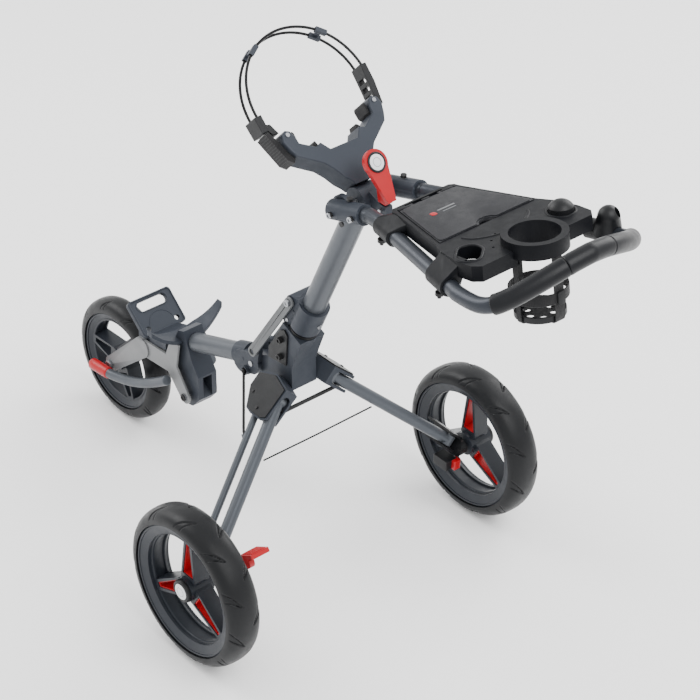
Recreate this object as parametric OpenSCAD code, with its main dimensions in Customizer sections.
// Three-wheeled golf push trolley that folds about its central casting.
// +X is the right-hand side, +Y is the way it rolls, +Z is up.
// Every module is written from the point on the ground under the rear axle.

/* [Wheels] */
// Diameter of each rear wheel
rear_wheel_d = 280; // [274:1:284]
// Width of each rear tyre
rear_tyre_w = 62; // [56:1:62]
// Distance from the middle plane to the middle of a rear tyre
half_track = 306.6; // [306:0.2:312]
// Diameter of the front wheel
front_wheel_d = 234; // [226:1:236]
// Width of the front tyre
front_tyre_w = 48; // [42:1:48]
// Distance from the rear axle forward to the front axle
wheelbase = 598.6; // [596:0.2:604]

/* [Frame] */
// Outer diameter of the mast tube
mast_d = 39; // [36:0.5:39]
// Lean of the mast back from upright, in degrees
mast_lean = 22.8; // [22.4:0.1:23.2]
// Outer diameter of the front tube
front_tube_d = 34; // [32:1:34]
// Outer diameter of a rear leg tube
leg_d = 21; // [19:0.5:21]
// Outer diameter of the slimmer parallel member of a rear leg
leg_link_d = 12; // [10:0.5:12]

/* [Handle] */
// Outer diameter of the handle tube
handle_tube_d = 24; // [22:0.5:24]
// Outer diameter of the grip sleeves
grip_d = 30; // [28:1:32]
// Distance from the rear axle back to the back of the grip
handle_reach = 514; // [512:1:516]
// Inner diameter of the bottle ring
bottle_ring_d = 76; // [70:1:78]

/* [Hidden] */

$fn = 64;
slip = 0.05;            // radial clearance of a pin in its bore
gap = 0.5;              // space between neighbouring faces that turn past each other

rear_axle_y = -(wheelbase + front_wheel_d / 2 - handle_reach) / 2;

// Colours
graphite = "#5b6068";
casting_grey = "#4a5058";
plate_grey = "#85898c";
black = "#1c1d20";
tyre_black = "#2c2d30";
signal_red = "#dd3a3a";
steel = "#b9bcc0";

// Pivots, in millimetres from the ground under the rear axle: [y, z]
mast_pivot = [121.7, 467.9];
front_pivot = [213, 328.8];
link_top = [110.2, 510.2];
link_bottom = [203.2, 360.9];
head_pivot = [-34, 770];
fork_pivot = [383, 165];
lid_pivot = [-166, 829];
lever_pivot = [-80, 772];
front_axle_at = [wheelbase, front_wheel_d / 2];
rear_axle_z = rear_wheel_d / 2;

// Mast: its foot is where its axis meets the hinge gap
mast_foot = [100, 458];
mast_tube_top = 300;

// Rear legs lie in planes that hold the pins' normal
leg_pin = [57, 96, 337];
leg_tilt = 42.4;          // turn of the leg plane about +Y
leg_trail = 16.9;         // backward slope of the leg in its plane
leg_l = 281.4;            // pin to pin
leg_spacing = 34;         // forward distance between the two members' pins
channel_w = 25;           // width of the channel in a casting arm
arm_w = 33;               // outer width of a casting arm

// Push rod from the front bracket to the leg link
rod_d = 5;
cross_rod_at = [86, 318];
rod_ball_r = 4.3;
cup_r = 5.9;             // cup for the ball, wider by the slack of the linkage
rod_top = [27, 224, 310];
rod_foot = [113.7, 115.2, 285.2];
rod_foot_axis = [0.153, -0.616, -0.773];

// ---------------------------------------------------------------- helpers

module place() translate([0, rear_axle_y, 0]) children();

module pair() {
    children();
    mirror([1, 0, 0]) children();
}

// Points +Z from a to b, with its origin at a
module aim(a, b) {
    d = b - a;
    translate(a) rotate([0, acos(d[2] / norm(d)), atan2(d[1], d[0])]) children();
}

module bar(a, b, r) aim(a, b) cylinder(r = r, h = norm(b - a));

// Cylinder across the trolley, centred on x, with its axis through [y, z]
module cross(at, r, w, x = 0) translate([x, at[0], at[1]]) rotate([0, 90, 0])
    cylinder(r = r, h = w, center = true);

// Extrudes a shape drawn in [y, z] across the trolley, centred on x
module slab(w, x = 0) translate([x - w / 2, 0, 0]) rotate([90, 0, 90]) linear_extrude(w) children();

// Flat bar with round ends
module strip(a, ra, b, rb) {
    heading = atan2(b[1] - a[1], b[0] - a[0]);
    lead = acos((ra - rb) / norm(b - a));
    trim = 0.985;
    function rim(c, r, t) = c + trim * r * [cos(t), sin(t)];
    translate(a) circle(ra);
    translate(b) circle(rb);
    polygon([rim(a, ra, heading + lead), rim(b, rb, heading + lead),
        rim(b, rb, heading - lead), rim(a, ra, heading - lead)]);
}

module rounded(w, h, r) {
    square([w, h - 2 * r], center = true);
    square([w - 2 * r, h], center = true);
    for (sx = [-1, 1], sy = [-1, 1])
        translate([sx * (w / 2 - r), sy * (h / 2 - r)]) circle(r);
}

function unit(v) = v / norm(v);

// Closed outline from its right half
function both_sides(p) = concat(p, [for (i = [len(p) - 1:-1:0]) [-p[i][0], p[i][1]]]);

// Catmull-Rom curve through hand-placed points
function spline_at(p0, p1, p2, p3, t) = 0.5 * (2 * p1 + (p2 - p0) * t
    + (2 * p0 - 5 * p1 + 4 * p2 - p3) * t * t + (3 * p1 - p0 - 3 * p2 + p3) * t * t * t);
function smooth(p, steps) = let (n = len(p)) concat(
    [for (i = [0:n - 2], j = [0:steps - 1]) spline_at(p[max(i - 1, 0)], p[i], p[i + 1],
        p[min(i + 2, n - 1)], j / steps)], [p[n - 1]]);

function mirrored_path(p) = concat([for (i = [0:len(p) - 1]) p[i]],
    [for (i = [len(p) - 2:-1:0]) [-p[i][0], p[i][1], p[i][2]]]);

// Tube swept along a path; up is any direction that the path never follows
module swept(path, r, sides = 12, up = [0, 0, 1], rx = 0) {
    n = len(path);
    wide = rx == 0 ? r : rx;
    function dir(i) = unit(path[min(i + 1, n - 1)] - path[max(i - 1, 0)]);
    points = [for (i = [0:n - 1]) let (s = unit(cross(dir(i), up)), u = cross(s, dir(i)))
        for (k = [0:sides - 1]) path[i] + wide * cos(360 * k / sides) * s
            + r * sin(360 * k / sides) * u];
    walls = [for (i = [0:n - 2], k = [0:sides - 1]) let (a = i * sides + k,
        b = i * sides + (k + 1) % sides) [a, b, b + sides, a + sides]];
    ends = [[for (k = [sides - 1:-1:0]) k], [for (k = [0:sides - 1]) (n - 1) * sides + k]];
    polyhedron(points, concat(walls, ends), convexity = 6);
}

// ---------------------------------------------------------------- frames of reference

// Origin at the mast's foot, +Z up the mast
module on_mast() translate([0, mast_foot[0], mast_foot[1]]) rotate([mast_lean, 0, 0]) children();

// Origin at the right leg's main pin: +X out along the leg plane, +Y forward, +Z along the pin
module leg_plane() translate(leg_pin) rotate([0, leg_tilt, 0]) children();

// The same plane, moved to the outer pin
module knuckle_plane() leg_plane() rotate([0, 0, -leg_trail]) translate([leg_l, 0, 0])
    rotate([0, 0, leg_trail]) children();

// Upper bag plane: +Y up the plane, +Z back towards the player
cradle_tilt = 41.8;
module cradle_plane() translate([0, 49, 872]) rotate([cradle_tilt, 0, 0]) children();

// Lower bag plane
module base_plane() translate([0, 508, 265]) rotate([40, 0, 0]) children();

// Console top: +X right, +Y forward, origin at the hinge line of the lid
console_tilt = -11;
module console_plane() translate([0, lid_pivot[0], lid_pivot[1] + 4]) rotate([console_tilt, 0, 0])
    children();

// ---------------------------------------------------------------- chassis

arm_outline = [[-34, 20], [-22, 54], [6, 54], [40, 34], [44, 20], [44, -4], [38, -15], [-22, -15]];

module arm_shell() {
    leg_plane() difference() {
        translate([0, 0, -arm_w / 2]) linear_extrude(arm_w) polygon(arm_outline);
        // channel for both members
        translate([-14, -12, -channel_w / 2]) cube([70, 60, channel_w]);
        // the leg swings out through the rear wall
        translate([0, -20, -channel_w / 2 + 1]) cube([70, 20, channel_w - 2]);
        translate([0, -10, 0]) rotate([90, 0, 0]) cylinder(r = channel_w / 2 - 1, h = 10);
        // the inner wall stops short of the push rod
        translate([0, 0, -arm_w / 2 - 1]) linear_extrude(arm_w / 2 + 1 - 2)
            polygon([[9, 70], [9, 22], [60, 9], [60, 70]]);
        translate([-30, 40, -arm_w]) cube([100, 40, arm_w - 5]);
        pin_bore([0, 0], 5);
        pin_bore([0, leg_spacing], 3);
    }
}

module pin_bore(at, r) translate([at[0], at[1], -30]) cylinder(r = r + slip, h = 60);

module main_casting() color(casting_grey) place() {
    difference() {
        union() {
            // waist under the mast
            difference() {
                union() {
                    slab(52) polygon([[78, 449], [101, 384], [98, 340], [120, 322], [150, 322],
                        [162, 352], [158, 400], [132, 446], [124, 467]]);
                    on_mast() translate([0, 0, -34]) cylinder(r = 26, h = 28);
                }
                cross(mast_pivot, 10.4, 46);
                on_mast() translate([0, 0, -6]) cylinder(r = 40, h = 40);
            }
            cross(mast_pivot, 9, 15.4);
            slab(15.4) polygon([[113, 464], [124, 475], [134, 455], [124, 440]]);
            pair() arm_shell();
            // tongue to the front hinge
            slab(23) strip([150, 352], 20, front_pivot, 14);
        }
        cross(front_pivot, 5 + slip, 60);
        cross(mast_pivot, 4 + slip, 60);
        cross(cross_rod_at, 3.5 + slip, 120);
        // the legs' members need the root of each channel free
        pair() leg_plane() translate([-14, -12, -channel_w / 2]) cube([16, 60, channel_w]);
    }
}

module arm_covers() color(black) place() pair() leg_plane() translate([0, 0, arm_w / 2 + slip])
    linear_extrude(2.5) offset_outline(arm_outline);

// Arm outline drawn in by a margin
module offset_outline(p) polygon([for (v = p) [4, 18] + 0.92 * (v - [4, 18])]);

module hinge_plates() color(plate_grey) place() pair() slab(3, 27.6 + slip)
    polygon([[110, 444], [118, 452], [130, 446], [157, 399], [157, 378], [112, 384]]);

plate_bolt_at = [[126, 429], [126, 396]];

module casting_bolts() color(black) place() pair() {
    for (at = plate_bolt_at) cross(at, 5.5, 4, 31.3);
    leg_plane() for (at = [[12, 40], [30, 14]])
        translate([at[0], at[1], arm_w / 2 + 2.6]) cylinder(r = 3, h = 1.5);
}

module cross_rod() color(black) place() cross(cross_rod_at, 3.5, 116);

module seat_ring() color(black) place() difference() {
    on_mast() translate([0, 0, -5.95]) difference() {
        cylinder(r = 24.5, h = 5.5);
        translate([0, 0, -1]) cylinder(r = 19, h = 8);
    }
    cross(mast_pivot, 10.4, 60);
}

module hinge_pins() color(steel) place() {
    cross(mast_pivot, 4, 43);
    cross(front_pivot, 5, 44);
    pair() leg_plane() {
        translate([0, 0, -arm_w / 2]) cylinder(r = 5, h = arm_w);
        translate([0, leg_spacing, -arm_w / 2]) cylinder(r = 3, h = arm_w);
    }
}

// ---------------------------------------------------------------- mast

module mast_collar() color(casting_grey) place() difference() {
    union() {
        on_mast() translate([0, 0, 4]) cylinder(r = 26, h = 56);
        slab(44) strip(link_top, 11, [92, 508], 14);
        pair() {
            cross(mast_pivot, 9, 12.5, 14.5);
            slab(12.5, 14.5) polygon([[114, 464], [99, 488], [112, 500], [130, 472]]);
        }
    }
    on_mast() cylinder(r = mast_d / 2 + slip, h = 80);
    cross(mast_pivot, 4 + slip, 60);
    cross(link_top, 3 + slip, 60);
    cross(mast_pivot, 9.8, 16.4);
}

module mast_tube() color(graphite) place() on_mast() difference() {
    translate([0, 0, 14]) cylinder(d = mast_d, h = mast_tube_top - 14);
    translate([0, 0, 6]) cylinder(d = mast_d - 4, h = mast_tube_top);
}

module mast_head() color(black) place() difference() {
    union() {
        cross(head_pivot, 22, 38);
        on_mast() translate([0, 0, mast_tube_top + slip]) cylinder(r = 18.9, h = 36);
        slab(14) polygon([[-34, 750], [-84, 757], [-91, 766], [-88, 780], [-74, 781], [-50, 790]]);
    }
    cross(head_pivot, 5 + slip, 60);
    cross(lever_pivot, 3 + slip, 60);
}

module mast_bolts() color(steel) place() {
    cross(head_pivot, 5, 82);
    cross(lever_pivot, 3, 25);
    cross(link_top, 3, 60);
    pair() cross(link_top, 6, 3, 29.8);
    on_mast() translate([0, -26, 30]) rotate([90, 0, 0]) cylinder(r = 4, h = 2.5);
    cradle_plane() pair() translate([86, 0, 0.05]) cylinder(r = 3.5, h = 1.5);
}

cradle_half = [[27, -44], [38, -29], [48, -33], [73, -18], [74, -6], [78, 4], [86, 8],
    [95, 3], [98, -8], [93, -24], [87, -36], [68, -49], [50, -61], [38, -76], [29, -92],
    [20, -102], [16, -109]];

module cradle() color(graphite) place() difference() {
    cradle_plane() translate([0, 0, -40]) difference() {
        linear_extrude(40) polygon(both_sides(cradle_half));
        // hollow behind the arms
        pair() translate([0, 0, -1]) linear_extrude(30)
            polygon([[44, -42], [72, -28], [80, -36], [64, -45], [50, -55], [44, -55]]);
    }
    cross(head_pivot, 22 + slip, 60);
}

module pair_2d() {
    children();
    mirror([1, 0]) children();
}

module cradle_pads() color(black) place() cradle_plane() pair() {
    translate([0, 0, -32]) linear_extrude(24) polygon([[38.6, -29.1], [48.1, -32.75],
        [45, -25], [41, -22]]);
    translate([0, 0, -40]) linear_extrude(34) polygon([[72.9, -17.4], [70.2, -14], [69.6, 0],
        [71.6, 4], [73.7, -6.3]]);
}

// Strap of the upper cradle: two wires round the bag, joined by clips
strap_r = 109;
strap_up = 50;
wire_low = -38;
wire_high = -16;
wire_d = 4.6;

function strap_point(t, n) = [strap_r * cos(t), strap_up + strap_r * sin(t), n];

module strap_wires() color(black) place() cradle_plane() for (n = [wire_low, wire_high])
    swept([for (t = [8:4:180]) strap_point(t, n)], wire_d / 2, 8);

module strap_clips() color(graphite) place() cradle_plane() for (t = [50, 122])
    translate([0, strap_up, 0]) rotate([0, 0, t]) {
        for (n = [wire_low, wire_high]) translate([strap_r, 0, n]) difference() {
            cube([8, 20, 8], center = true);
            rotate([90, 0, 0]) cylinder(d = wire_d + 1, h = 40, center = true);
        }
        translate([strap_r + 1, 0, (wire_low + wire_high) / 2]) cube([4, 8, 14 - slip], center = true);
    }

module strap_webbing() color(black) place() cradle_plane() translate([0, 0, -38])
    linear_extrude(30) polygon([[-98.6, -8], [-93.6, -24.2], [-87.3, -36.5], [-92, -42], [-101, -34],
        [-115, 14], [-109, 17]]);

module strap_fittings() color(black) place() cradle_plane() {
    // buckle at the left end
    translate([0, 0, -42]) linear_extrude(32) polygon([[-104, 18], [-117, 17.5], [-118, 45], [-104, 46]]);
    translate([0, 0, -34]) linear_extrude(20) polygon([[-88, 10], [-98, 10], [-103, 17], [-103, 30], [-95, 28]]);
    // ladder plate at the right end
    translate([0, 0, -42]) difference() {
        linear_extrude(30) polygon([[99, -4], [108, -8], [114, 30], [115, 62], [104, 62], [102, 30]]);
        for (t = [6, 20, 34]) translate([95, t, 6]) cube([30, 7, 18]);
    }
}

module lever() color(signal_red) place() difference() {
    union() {
        slab(15) polygon([[-88, 762], [-74, 762], [-72, 782], [-66, 812], [-52, 836], [-40, 850],
            [-44, 857], [-52.3, 847.4], [-71.8, 822.6], [-88, 802]]);
        lever_plane() {
            cylinder(r = 21, h = 7);
            linear_extrude(7) polygon([[-19, -8], [-8, -64], [8, -64], [19, -8]]);
        }
    }
    cross(lever_pivot, 3 + slip, 60);
    cross(lever_pivot, 12, 7.6 * 2);
    slab(15.2) polygon([[-95, 755], [-60, 755], [-60, 784], [-95, 784]]);
}

// Plane of the lever's paddle
module lever_plane() translate([0, -51, 838]) rotate([52, 0, 0]) children();

// ---------------------------------------------------------------- fold linkage

module fold_links() color(plate_grey) place() pair() difference() {
    slab(4, 25.5) strip(link_top, 9, link_bottom, 9);
    cross(link_top, 3 + slip, 80);
    // the lower eye is open by the slack of the four-bar
    cross(link_bottom, 5.6, 80);
}

module rod() {
    foot_dir = unit(rod_foot_axis);
    elbow = rod_foot - 3 * foot_dir;
    swept([rod_foot + 9 * foot_dir, rod_foot, elbow, elbow + 4 * unit(rod_top - elbow), rod_top],
        rod_d / 2, 12, [1, 0, 0]);
    // ball that sits in the bracket's cup
    hull() translate(rod_top) sphere(rod_ball_r, $fn = 20);
}

module rod_right() color(black) place() rod();
module rod_left() color(black) place() mirror([1, 0, 0]) rod();

// ---------------------------------------------------------------- handle

collar_front = [56, -26, 767];
collar_mouth = [56, -97, 791];

module handle_yoke() color(casting_grey) place() pair() difference() {
    union() {
        bar(collar_front, collar_mouth, 16.5);
        cross(head_pivot, 20, 28, 33.6 + gap);
        slab(6, 22.6 + gap) polygon([[-34, 752], [-2, 764], [0, 719], [-18, 710], [-40, 711],
            [-71, 749], [-84, 772], [-60, 786]]);
    }
    aim(collar_front, collar_mouth) translate([0, 0, 6]) cylinder(d = handle_tube_d + 2 * slip, h = 120);
    cross(head_pivot, 5 + slip, 120);
    translate([0, -200, 600]) cube([2 * (19 + gap), 400, 400], center = false);
    translate([-2 * (19 + gap) + 19 + gap, -200, 600]) cube([19 + gap, 400, 400]);
}

module yoke_bolts() color(black) place() pair() {
    for (at = [[-39, 769], [-86, 785]]) cross(at, 5, 4, 74.7);
    translate([54, -60, 798.3]) cylinder(r = 5, h = 4);
    cross([-14, 722], 4.5, 3, 27.6 + gap);
}

// Straight part of the right-hand rail, under the console
rail_start = [62, -135, 800.5];
rail_end = [135.9, -386, 835.5];
rail_dir = unit(rail_end - rail_start);
function on_rail(s) = rail_start + s * rail_dir;

// Right half of the handle's centre line, from the yoke to the middle
tube_run = [[56, -34, 769.7], [56, -70, 781.9], [56, -104, 793.34], [56, -110, 795.4], rail_start,
    on_rail(10), on_rail(137), on_rail(240), rail_end, [140, -427, 843], [135, -452, 853.5], [117, -466, 864], [93, -478, 877.5],
    [65, -488, 890.5], [33, -495, 901.5], [0, -(handle_reach - grip_d / 2), 907.5]];
run_steps = 4;
handle_path = mirrored_path(smooth(tube_run, run_steps));
path_end = len(handle_path) - 1;

module handle_tube() color(graphite) place() swept(handle_path, handle_tube_d / 2, 20);

grip_first = 40;          // path step where a side grip begins
grip_seam = 55;           // path step of the seam beside the middle grip

// Sleeve between two path steps, drawn in by half a seam at each end
module sleeve(first, last) {
    seam = 0.6;
    steps = [for (i = [first:last]) handle_path[i]];
    n = len(steps);
    function inset(a, b) = a + seam * unit(b - a);
    ends_in = concat([inset(steps[0], steps[1])], [for (i = [1:n - 2]) steps[i]],
        [inset(steps[n - 1], steps[n - 2])]);
    difference() {
        swept(ends_in, grip_d / 2, 20);
        swept([for (i = [first - 1:last + 1]) handle_path[i]], handle_tube_d / 2 + 0.2, 20);
    }
}

module grips() color(black) place() {
    sleeve(grip_first, grip_seam);
    sleeve(grip_seam, path_end - grip_seam);
    sleeve(path_end - grip_seam, path_end - grip_first);
}

// ---------------------------------------------------------------- console

ring_at = [0, -232];      // middle of the bottle ring in the console plane
pocket_at = [90, -193];
lid_front_w = 108;
lid_back_w = 186;
lid_l = 134;
tray_h = 24;
tray_wall = 3;

tray_half = [[55, 10], [62, 4], [64, -8], [99, -132], [112, -160], [119, -200], [118, -226],
    [108, -238]];

// Sleeves of the tray round the handle tube, as distances along its straight part
sleeves = [[12, 58], [188, 236]];
sleeve_r = 16;
// Deck edges that the sleeves hang from
hangers = [[[60, -24], [10, 44]], [[108, -178], [10, 46]]];

module flank(i) hull() {
    bar(on_rail(sleeves[i][0]), on_rail(sleeves[i][1]), sleeve_r, $fn = 32);
    console_plane() translate([hangers[i][0][0], hangers[i][0][1], -5])
        cube([hangers[i][1][0], hangers[i][1][1], 6], center = true);
}

module console_tray() color(black) place() difference() {
    union() {
        console_plane() difference() {
            union() {
                translate([0, 0, -tray_h]) linear_extrude(tray_h) polygon(both_sides(tray_half));
                translate([ring_at[0], ring_at[1], ring_low]) cylinder(d = bottle_ring_d + 22, h = 24);
            }
            // underside, left hollow round the store, the ring and the pockets
            translate([0, 0, -tray_h - 1]) linear_extrude(tray_h + 1 - tray_wall) difference() {
                polygon([for (v = both_sides(tray_half)) [0, -114] + 0.93 * (v + [0, 114])]);
                polygon([[-52, 20], [52, 20], [92, -126], [-92, -126]]);
                translate(ring_at) circle(d = bottle_ring_d + 21);
                pair_2d() translate(pocket_at) circle(25);
            }
            // store under the lid
            translate([0, 0, -tray_h + tray_wall]) linear_extrude(tray_h)
                polygon([[-46, -10], [46, -10], [82, -122], [-82, -122]]);
            translate([ring_at[0], ring_at[1], -40]) cylinder(d = bottle_ring_d, h = 80);
            translate([0, 0, -tray_h + tray_wall]) linear_extrude(40)
                strip([-98, -199], 17, [-84, -187], 17.5);
            pair() for (t = [26, 47, 68]) translate([62 * cos(t), ring_at[1] + 62 * sin(t), -12])
                cylinder(r = 2, h = 20);
            // room for the lid's hinge lugs
            translate([-37, -15, -9]) cube([74, 20.5, 20]);
            // slots in the underside for the cage's straps
            for (t = [0:90:270]) translate([ring_at[0], ring_at[1], 0]) rotate([0, 0, t])
                translate([cage_r - 1.5, -strap_w / 2 - 0.5, -tray_h - 10])
                    cube([2.6, strap_w + 1, tray_h + 10 + ring_low]);
        }
        pair() for (i = [0, 1]) flank(i);
    }
    // ledge that the lid lies on, and the right pocket
    console_plane() {
        translate([0, 0, -5.5]) linear_extrude(10) lid_outline(1);
        translate([pocket_at[0], pocket_at[1], -tray_h + tray_wall]) cylinder(r = 19.5, h = 40);
    }
    pair() bar(on_rail(-20), on_rail(300), handle_tube_d / 2 + 0.4);
    cross(lid_pivot, 2 + slip, 86);
}

module lid_outline(grow) polygon([[-lid_front_w / 2 - grow, grow], [lid_front_w / 2 + grow, grow],
    [lid_back_w / 2 + grow, -lid_l - grow], [-lid_back_w / 2 - grow, -lid_l - grow]]);

lid_lug = [[lid_pivot[0] - 12, lid_pivot[1] + 3.6], 3];

module console_lid() color("#303236") place() {
    console_plane() difference() {
        translate([0, 0, -4.5]) linear_extrude(5.5) lid_outline(0);
        // finger notch
        translate([0, -lid_l - 6, -10]) cylinder(r = 17, h = 20);
        translate([-70, -6.5, -10]) cube([140, 20, 20]);
    }
    pair() slab(9, 29.5) strip(lid_pivot, 4, lid_lug[0], lid_lug[1]);
    cross(lid_pivot, 2, 84);
}

module ball_cap() color(black) place() console_plane() translate([pocket_at[0], pocket_at[1], -10])
    rotate_extrude() difference() {
        union() {
            square([18.8, 17]);
            intersection() {
                translate([0, 6]) circle(22);
                translate([0, 16]) square([18.8, 20]);
            }
        }
        translate([-1, -1]) square([16, 12]);
    }

module tray_clamps() color(black) place() pair() for (s = [22, 214]) {
    translate(on_rail(s) + [6, 0, -17]) rotate([180, 0, 0]) {
        cylinder(r = 6.5, h = 5);
        cylinder(r = 3, h = 10);
    }
}

// Webbing cage under the bottle ring
cage_low = -116;          // depth of the cage below the console plane
strap_w = 19;
cage_r = 40;

ring_low = -12;
module on_cage() console_plane() translate([ring_at[0], ring_at[1], 0]) children();

module bottle_straps() color(black) place() on_cage() {
    for (t = [90, 270]) rotate([0, 0, t]) translate([cage_r - 1, -strap_w / 2, cage_low + 3])
        cube([1.6, strap_w, ring_low - slip - cage_low - 3]);
    translate([0, 0, cage_low + 29]) difference() {
        cylinder(r = cage_r + 3.2, h = 18);
        translate([0, 0, -1]) cylinder(r = cage_r + 1.4, h = 30);
    }
    for (t = [0, 180]) rotate([0, 0, t]) translate([cage_r - 1, -4, cage_low + 3])
        cube([1.6, 8, ring_low - slip - cage_low - 3]);
}

module bottle_dish() color(black) place() on_cage() translate([0, 0, cage_low]) difference() {
    cylinder(r = cage_r - 1.6, h = 9);
    translate([0, 0, 3]) cylinder(r = cage_r - 6, h = 9);
    for (t = [0:60:300]) rotate([0, 0, t]) translate([20, 0, -1]) cylinder(r = 6, h = 9);
}

socket_foot = [139, -404, 838];
socket_neck = 27;         // height of the shoulder over the tube
socket_r = 17;

module umbrella_holder() color(black) place() difference() {
    union() {
        bar(on_rail(250), [138.3, -402, 838.5], 15.5);
        translate(socket_foot) {
            cylinder(r1 = 23, r2 = socket_r, h = socket_neck);
            translate([0, 0, socket_neck]) sphere(r = socket_r);
        }
    }
    // socket for the umbrella stem
    translate(socket_foot + [0, 0, 20]) rotate([28, 26, 0]) cylinder(r = 8, h = 60);
    swept(smooth([on_rail(137), on_rail(240), rail_end, [140, -427, 843], [135, -452, 853.5]], run_steps),
        handle_tube_d / 2 + 1.2, 20);
}

// ---------------------------------------------------------------- front frame

tube_start = [238, 325.1];
tube_elbow = [392, 265.5];

module front_tube() color(graphite) place() difference() {
    bar([0, tube_start[0], tube_start[1]], [0, tube_elbow[0], tube_elbow[1]], front_tube_d / 2);
    bar([0, tube_start[0] + 12, tube_start[1] - 4.6], [0, 460, 239], front_tube_d / 2 - 2);
    slab(60) polygon([[376, 240], [400, 300], [440, 300], [440, 200], [376, 200]]);
}

module front_bracket() color(casting_grey) place() difference() {
    union() {
        bar([0, 233, 327], [0, 264, 315], front_tube_d / 2 + 4);
        slab(41) strip(front_pivot, 20, [240, 318], 21);
        slab(41) strip(front_pivot, 16, link_bottom, 11);
        slab(41) strip([236, 316], 14, [rod_top[1], rod_top[2]], 9);
        pair() cross([rod_top[1], rod_top[2]], 8, 6, 23);
    }
    // slot that the casting's tongue sweeps
    slab(24) circle_at(front_pivot, 23);
    slab(24) polygon([[150, 420], [190, 420], [225, 372], [222, 345], [233, 322], [239, 262], [240, 240],
        [150, 240]]);
    cross(front_pivot, 5 + slip, 60);
    cross(link_bottom, 3 + slip, 60);
    pair() cross([rod_top[1], rod_top[2]], cup_r, 10, 26.1);
    bar([0, tube_start[0], tube_start[1]], [0, tube_elbow[0], tube_elbow[1]], front_tube_d / 2 + slip);
}

module circle_at(at, r) translate(at) circle(r);

latch_outline = [[376, 240], [398, 292], [414, 286], [430, 250], [433, 190], [412, 160], [392, 142],
    [374, 146], [356, 168], [358, 214]];

module latch_block() color(black) place() difference() {
        slab(40) polygon(latch_outline);
        slab(19) polygon([[340, 206], [372, 214], [384, 188], [356, 168], [340, 168]]);
        cross(fork_pivot, 4 + slip, 60);
        bar([0, 300, 301.1], [0, 393, 265.1], front_tube_d / 2 + slip);
}

module front_axle() color(steel) place() {
    cross(front_axle_at, 6, 76);
    pair() cross(front_axle_at, 9, 4.5, 36.4);
    cross(fork_pivot, 4, 62);
    pair() cross(fork_pivot, 7, 3, 32.6);
}

fork_root = [505, 205];

module wheel_fork() color(plate_grey) place() difference() {
    union() {
        pair() {
            slab(6, 31) strip(front_axle_at, 15, fork_root, 20);
            slab(4, 29) union() {
                strip(fork_pivot, 13, [424, 212], 17);
                strip([424, 212], 17, [412, 262], 12);
                strip([424, 212], 17, fork_root, 18);
            }
        }
        slab(56) polygon([[470, 196], [500, 184], [520, 190], [520, 214], [478, 222]]);
    }
    cross(front_axle_at, 6 + slip, 120);
    cross(fork_pivot, 4 + slip, 120);
    cross(front_axle_at, front_wheel_d / 2 + 4, front_tyre_w + 4);
    // the saddle rests on the cheeks
    translate([0, 460, saddle_z]) rotate([90, 0, 0]) cylinder(r = saddle_r + 7 + slip, h = 80);
}

module bag_base() color(black) place() {
    difference() {
        union() {
            base_plane() translate([0, -2, 0]) linear_extrude(8) rounded(92, 70, 7);
            slab(54) polygon([[484, 246], [507, 264], [517, 254], [520, 240], [520, 216],
                [478, 224], [441.5, 232], [440, 262]]);
        }
        base_plane() translate([0, 17, -5]) linear_extrude(40) rounded(62, 18, 8.9);
        base_plane() pair() translate([31, -25, -6]) cylinder(r = 5, h = 30);
        cross(front_axle_at, front_wheel_d / 2 + 4, front_tyre_w + 4);
        pair() cross([496, 226], 9, 20, 34);
    }
}

// Saddle: an arc across the tube that the bag leans on
saddle_r = 98;
saddle_z = 268 + saddle_r;
saddle_half_w = 77;
module bag_saddle() color(casting_grey) place() difference() {
    intersection() {
        translate([0, 438, saddle_z]) rotate([90, 0, 0]) linear_extrude(36) intersection() {
            difference() {
                circle(saddle_r + 7);
                circle(saddle_r);
            }
            translate([-saddle_half_w, -200]) square([2 * saddle_half_w, 148]);
        }
        // both arms narrow towards their tips
        linear_extrude(500) polygon(both_sides([[30, 438], [saddle_half_w, 427], [saddle_half_w, 413],
            [30, 402]]));
    }
    latch_clear();
}

module latch_clear() {
    slab(40 + 2 * slip) translate([395, 222]) scale(1.003) translate([-395, -222]) polygon(latch_outline);
    slab(40 + 2 * slip) polygon([[380, 240], [402, 292], [380, 300]]);
}

hoop_path = smooth([[50, 408, 196], [50, 450, 167], [50, 490, 144], [50, 530, 127],
    [50, 575, 114], [50, 620, 108]], 4);

module stand_hoops() color(graphite) place() pair() {
    swept(hoop_path, 9, 16);
    cross([416, 196], 8, 13.5, 37.9);
}

module hoop_caps() color(signal_red) place() pair() difference() {
    aim([50, 606, 110.4], [50, 640, 105.6]) cylinder(r = 11, h = 32);
    swept(hoop_path, 9.1, 16);
}

// ---------------------------------------------------------------- wheels

// Tyre ring about +Z with a crowned tread
module tyre(r, w, bead_r, crown_r) rotate_extrude($fn = 96) difference() {
    intersection() {
        translate([bead_r, -w / 2]) square([r - bead_r + 1, w]);
        translate([r - crown_r, 0]) circle(crown_r, $fn = 128);
    }
    // hollow, open to the rim
    translate([bead_r - 1, -w / 2 + 9]) square([r - bead_r - 8, w - 18]);
}

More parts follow.
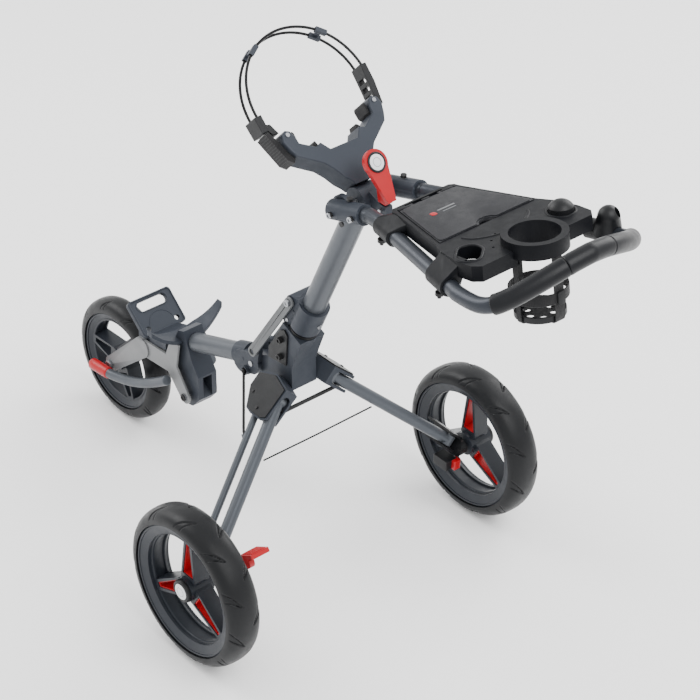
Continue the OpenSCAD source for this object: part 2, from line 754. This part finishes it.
module rim(bead_r, inner_r, w, hub_r, hub_w, angles, bore_r) {
    lip = 3;
    difference() {
        union() {
            // channel that holds the tyre
            rotate_extrude($fn = 96) polygon([[inner_r, -w / 2 + 6], [bead_r - lip, -w / 2],
                [bead_r, -w / 2], [bead_r, -w / 2 + 5], [inner_r + 5, -w / 2 + 11],
                [inner_r + 5, w / 2 - 11], [bead_r, w / 2 - 5], [bead_r, w / 2],
                [bead_r - lip, w / 2], [inner_r, w / 2 - 6]]);
            for (t = angles) rotate([0, 0, t]) translate([0, 0, -spoke_w / 2])
                linear_extrude(spoke_w) polygon([[4, -14], [19, -17.6], [inner_r + 1, -9],
                    [inner_r + 1, 9], [19, 17.6], [4, 14]]);
            translate([0, 0, -hub_w / 2]) cylinder(r = hub_r, h = hub_w);
        }
        for (t = angles) rotate([0, 0, t]) translate([0, 0, -30])
            linear_extrude(60) spoke_window(inner_r, 0);
        translate([0, 0, -hub_w]) cylinder(r = bore_r + slip, h = 2 * hub_w);
    }
}

spoke_w = 30;
module spoke_window(inner_r, inset) polygon([[25 + inset, -13.2 + inset],
    [inner_r - 7 - 2 * inset, -4.4 + inset * 0.9], [inner_r - 7 - 2 * inset, 4.4 - inset * 0.9],
    [25 + inset, 13.2 - inset]]);

rear_angles = [90, 210, 330];
rear_bead_r = 117;
rear_inner_r = 98;
front_bead_r = 94;
front_inner_r = 79;

// Right rear wheel frame: +Z out along the axle, +X up
module right_wheel() translate([half_track, 0, rear_axle_z]) rotate([0, 90, 0])
    rotate([0, 0, 180]) children();

module rear_rim() right_wheel() rim(rear_bead_r, rear_inner_r, rear_tyre_w - 8, 21, 46,
    [0, 120, 240], 6);
module rear_tyre() right_wheel() tyre(rear_wheel_d / 2, rear_tyre_w, rear_bead_r + slip, 62);
module liners() right_wheel() for (t = [0, 120, 240]) rotate([0, 0, t])
    translate([0, 0, -spoke_w / 2 + 2]) linear_extrude(spoke_w - 4) difference() {
        spoke_window(rear_inner_r, 0.1);
        spoke_window(rear_inner_r, 1.7);
    }
module hub_cap() right_wheel() translate([0, 0, 23.05]) cylinder(r = 20, h = 6);

module rim_right() color(casting_grey) place() rear_rim();
module rim_left() color(casting_grey) place() mirror([1, 0, 0]) rear_rim();
module tyre_right() color(tyre_black) place() rear_tyre();
module tyre_left() color(tyre_black) place() mirror([1, 0, 0]) rear_tyre();
module liners_right() color(signal_red) place() liners();
module liners_left() color(signal_red) place() mirror([1, 0, 0]) liners();
module hub_cap_right() color(black) place() hub_cap();
module hub_cap_left() color(black) place() mirror([1, 0, 0]) hub_cap();

module front_wheel() translate([0, front_axle_at[0], front_axle_at[1]]) rotate([0, 90, 0])
    rotate([0, 0, 180]) children();
module front_rim() color(casting_grey) place() front_wheel()
    rim(front_bead_r, front_inner_r, front_tyre_w - 8, 18, 44, [35, 155, 275], 6);
module front_tyre() color(tyre_black) place() front_wheel()
    tyre(front_wheel_d / 2, front_tyre_w, front_bead_r + slip, 30);

// ---------------------------------------------------------------- rear legs

module leg() leg_plane() rotate([0, 0, -leg_trail]) difference() {
    union() {
        rotate([0, 90, 0]) cylinder(d = leg_d, h = leg_l);
        for (s = [0, leg_l]) translate([s, 0, -leg_d / 2 + 1]) cylinder(d = leg_d + 1, h = leg_d - 2);
    }
    for (s = [0, leg_l]) translate([s, 0, -20]) cylinder(r = 5 + slip, h = 40);
}

module leg_link() difference() {
    union() {
        leg_plane() translate([0, leg_spacing, 0]) rotate([0, 0, -leg_trail]) {
            rotate([0, 90, 0]) cylinder(d = leg_link_d, h = leg_l);
            for (s = [0, leg_l]) translate([s, 0, -leg_link_d / 2 + 0.5])
                cylinder(d = leg_link_d + 1, h = leg_link_d - 1);
        }
        bar(rod_foot + 1.5 * unit(rod_foot_axis), rod_foot + 7.5 * unit(rod_foot_axis), 5.5);
    }
    leg_plane() translate([0, leg_spacing, 0]) rotate([0, 0, -leg_trail])
        for (s = [0, leg_l]) translate([s, 0, -20]) cylinder(r = 3 + slip, h = 40);
    bar(rod_foot - 5 * unit(rod_foot_axis), rod_foot + 20 * unit(rod_foot_axis), rod_d / 2 + slip);
}

module knuckle() difference() {
    union() {
        knuckle_plane() translate([-14, -15, -15.5]) cube([29, 64, 31]);
        translate([262, 0, rear_axle_z]) rotate([0, 90, 0]) cylinder(r = 15, h = 15);
        translate([262, 0, rear_axle_z]) rotate([0, 90, 0]) cylinder(r = 6, h = 63);
    }
    knuckle_plane() translate([-60, -30, -channel_w / 2 + 1]) cube([72, 100, channel_w - 2]);
    knuckle_plane() translate([0, 0, -30]) cylinder(r = 5 + slip, h = 60);
    knuckle_plane() translate([0, leg_spacing, -30]) cylinder(r = 3 + slip, h = 60);
}

module leg_right() color(graphite) place() leg();
module leg_left() color(graphite) place() mirror([1, 0, 0]) leg();
module leg_link_right() color(graphite) place() leg_link();
module leg_link_left() color(graphite) place() mirror([1, 0, 0]) leg_link();
module knuckle_right() color(black) place() knuckle();
module knuckle_left() color(black) place() mirror([1, 0, 0]) knuckle();

// ---------------------------------------------------------------- brake

pedal_pivot = [-22, 172];

module brake_pedal() color(signal_red) place() difference() {
    union() {
        slab(10, -250) strip(pedal_pivot, 8, [-66, 200], 10);
        translate([-240, -68, 214]) rotate([-32, 0, 0]) translate([-18, -17, -4]) cube([36, 34, 8]);
    }
    cross(pedal_pivot, 3 + slip, 60, -250);
}

module brake_housing() color(black) place() {
    translate([238, -6, 104]) cube([24, 34, 20]);
}

// Bowden cable from the left leg to the right leg
cable_route = [[-117, 60, 263], [-60, 61, 261.5], [0, 61, 261], [60, 61, 261.5], [117, 60, 263]];

module brake_cable() color(black) place() swept(smooth(cable_route, 5), 1.5, 8);

// ---------------------------------------------------------------- assembly

main_casting();
arm_covers();
hinge_plates();
casting_bolts();
cross_rod();
seat_ring();
hinge_pins();
mast_collar();
mast_tube();
mast_head();
mast_bolts();
cradle();
cradle_pads();
strap_webbing();
strap_fittings();
strap_wires();
strap_clips();
lever();
fold_links();
handle_yoke();
yoke_bolts();
handle_tube();
grips();
console_tray();
tray_clamps();
console_lid();
ball_cap();
bottle_straps();
bottle_dish();
umbrella_holder();
front_tube();
front_bracket();
latch_block();
wheel_fork();
bag_base();
bag_saddle();
stand_hoops();
hoop_caps();
front_axle();
front_rim();
front_tyre();
brake_pedal();
brake_housing();
brake_cable();
rod_left();
rod_right();
leg_left();
leg_right();
leg_link_left();
leg_link_right();
knuckle_left();
knuckle_right();
rim_left();
rim_right();
tyre_left();
tyre_right();
liners_left();
liners_right();
hub_cap_left();
hub_cap_right();
